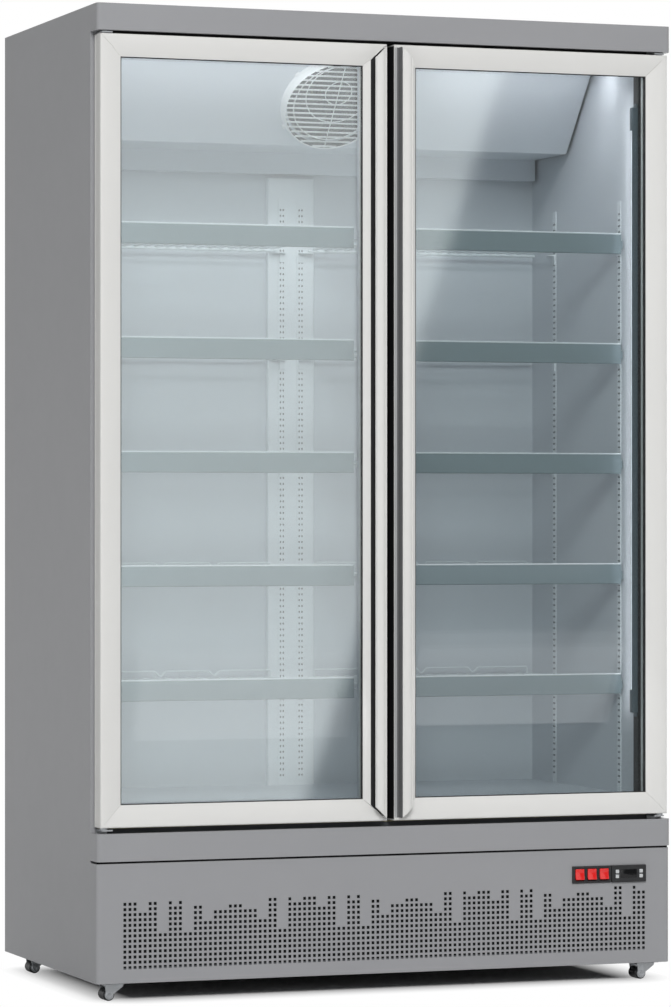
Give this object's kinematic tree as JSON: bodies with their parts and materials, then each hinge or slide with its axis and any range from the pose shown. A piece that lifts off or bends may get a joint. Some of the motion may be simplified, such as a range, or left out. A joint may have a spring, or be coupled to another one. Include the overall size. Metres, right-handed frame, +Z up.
{
  "type": "glass door bottle cooler",
  "caption": "Upright two-door glass-front bottle cooler on casters, with wire shelves, a fan cooler in the roof and the refrigerating unit below the floor.",
  "frame": {"origin": "centre of the cabinet's footprint, handles included, on the floor", "axes": "+X to the right of someone facing the doors, -Y out of the doors, +Z up"},
  "size_m": [1.253, 0.71, 1.997],
  "materials": {
    "grey_paint": "satin",
    "white_liner": "satin",
    "foam": "matte",
    "black_plastic": "satin",
    "dark_steel": "satin",
    "zinc": "satin",
    "shelf_wire": "satin",
    "white_plastic": "satin",
    "lamp": "satin",
    "fins": "matte",
    "copper": "satin",
    "frame": "satin",
    "glass": "gloss",
    "gasket": "matte",
    "red_plastic": "gloss",
    "fan_plastic": "matte",
    "button": "satin",
    "wheel": "satin"
  },
  "bodies": {
    "cabinet": {"side_panel_left": "grey_paint", "side_panel_right": "grey_paint", "back_panel": "grey_paint", "top_panel": "grey_paint", "insulation": "foam", "inner_liner": "white_liner", "header_fascia": "grey_paint", "lower_fascia": "grey_paint", "grille_panel": "grey_paint", "centre_post": "white_liner", "throat_frame": "black_plastic", "base_frame": "dark_steel", "shelf_standards": "zinc", "evaporator_cover": "white_liner", "fan_guard": "white_plastic", "evaporator_coil": "fins", "lamps": "lamp", "compressor": "dark_steel", "condenser": "fins", "drip_tray": "black_plastic", "refrigerant_pipes": "copper", "control_bezel": "black_plastic", "thermostat": "black_plastic", "hinge_brackets": "zinc", "caster_plates": "zinc", "shelf_left_1": "shelf_wire", "shelf_left_2": "shelf_wire", "shelf_left_3": "shelf_wire", "shelf_left_4": "shelf_wire", "shelf_left_5": "shelf_wire", "shelf_right_1": "shelf_wire", "shelf_right_2": "shelf_wire", "shelf_right_3": "shelf_wire", "shelf_right_4": "shelf_wire", "shelf_right_5": "shelf_wire"},
    "left_door": {"left_door_frame": "frame", "left_door_glass": "glass", "left_door_seals": "gasket", "left_door_handle": "frame"},
    "right_door": {"right_door_frame": "frame", "right_door_glass": "glass", "right_door_seals": "gasket", "right_door_handle": "frame"},
    "rocker_1": {"rocker_switch_1": "red_plastic"},
    "rocker_2": {"rocker_switch_2": "red_plastic"},
    "rocker_3": {"rocker_switch_3": "red_plastic"},
    "set_button": {"button_set": "button"},
    "up_button": {"button_up": "button"},
    "down_button": {"button_down": "button"},
    "defrost_button": {"button_defrost": "button"},
    "cooler_fan": {"evaporator_fan": "fan_plastic"},
    "condenser_fan": {"condenser_fan": "fan_plastic"},
    "front_left_fork": {"caster_fork_front_left": "zinc"},
    "front_left_wheel": {"caster_wheel_front_left": "wheel"},
    "front_right_fork": {"caster_fork_front_right": "zinc"},
    "front_right_wheel": {"caster_wheel_front_right": "wheel"},
    "rear_left_fork": {"caster_fork_rear_left": "zinc"},
    "rear_left_wheel": {"caster_wheel_rear_left": "wheel"},
    "rear_right_fork": {"caster_fork_rear_right": "zinc"},
    "rear_right_wheel": {"caster_wheel_rear_right": "wheel"}
  },
  "joints": [
    {"name": "left_door_hinge", "type": "hinge", "parent": "cabinet", "child": "left_door", "pos_m": [-0.6075, -0.312, 1.1425], "axis": [0, 0, -1], "range_deg": [0, 100]},
    {"name": "right_door_hinge", "type": "hinge", "parent": "cabinet", "child": "right_door", "pos_m": [0.6075, -0.312, 1.1425], "axis": [0, 0, 1], "range_deg": [0, 100]},
    {"name": "rocker_1_rock", "type": "hinge", "parent": "cabinet", "child": "rocker_1", "pos_m": [0.421, -0.3215, 0.225], "axis": [1, 0, 0], "range_deg": [0, 14]},
    {"name": "rocker_2_rock", "type": "hinge", "parent": "cabinet", "child": "rocker_2", "pos_m": [0.4485, -0.3215, 0.225], "axis": [1, 0, 0], "range_deg": [0, 14]},
    {"name": "rocker_3_rock", "type": "hinge", "parent": "cabinet", "child": "rocker_3", "pos_m": [0.476, -0.3215, 0.225], "axis": [1, 0, 0], "range_deg": [0, 14]},
    {"name": "set_press", "type": "slide", "parent": "cabinet", "child": "set_button", "axis": [0, 1, 0], "range_m": [0, 0.001], "stiffness_N_per_m": 300, "springref_m": -0.001},
    {"name": "up_press", "type": "slide", "parent": "cabinet", "child": "up_button", "axis": [0, 1, 0], "range_m": [0, 0.001], "stiffness_N_per_m": 300, "springref_m": -0.001},
    {"name": "down_press", "type": "slide", "parent": "cabinet", "child": "down_button", "axis": [0, 1, 0], "range_m": [0, 0.001], "stiffness_N_per_m": 300, "springref_m": -0.001},
    {"name": "defrost_press", "type": "slide", "parent": "cabinet", "child": "defrost_button", "axis": [0, 1, 0], "range_m": [0, 0.001], "stiffness_N_per_m": 300, "springref_m": -0.001},
    {"name": "cooler_fan_spin", "type": "hinge", "parent": "cabinet", "child": "cooler_fan", "pos_m": [0, 0.01957, 1.85044], "axis": [0, -0.7669, -0.6418], "continuous": true},
    {"name": "condenser_fan_spin", "type": "hinge", "parent": "cabinet", "child": "condenser_fan", "pos_m": [-0.25, -0.142, 0.199], "axis": [0, -1, 0], "continuous": true},
    {"name": "front_left_swivel", "type": "hinge", "parent": "cabinet", "child": "front_left_fork", "pos_m": [-0.5825, -0.278, 0.034], "axis": [0, 0, 1], "continuous": true},
    {"name": "front_left_roll", "type": "hinge", "parent": "front_left_fork", "child": "front_left_wheel", "pos_m": [-0.5925, -0.278, 0.012], "axis": [0, 1, 0], "continuous": true},
    {"name": "front_right_swivel", "type": "hinge", "parent": "cabinet", "child": "front_right_fork", "pos_m": [0.5825, -0.278, 0.034], "axis": [0, 0, 1], "continuous": true},
    {"name": "front_right_roll", "type": "hinge", "parent": "front_right_fork", "child": "front_right_wheel", "pos_m": [0.5725, -0.278, 0.012], "axis": [0, 1, 0], "continuous": true},
    {"name": "rear_left_swivel", "type": "hinge", "parent": "cabinet", "child": "rear_left_fork", "pos_m": [-0.5825, 0.26, 0.034], "axis": [0, 0, 1], "continuous": true},
    {"name": "rear_left_roll", "type": "hinge", "parent": "rear_left_fork", "child": "rear_left_wheel", "pos_m": [-0.5925, 0.26, 0.012], "axis": [0, 1, 0], "continuous": true},
    {"name": "rear_right_swivel", "type": "hinge", "parent": "cabinet", "child": "rear_right_fork", "pos_m": [0.5825, 0.26, 0.034], "axis": [0, 0, 1], "continuous": true},
    {"name": "rear_right_roll", "type": "hinge", "parent": "rear_right_fork", "child": "rear_right_wheel", "pos_m": [0.5725, 0.26, 0.012], "axis": [0, 1, 0], "continuous": true}
  ]
}
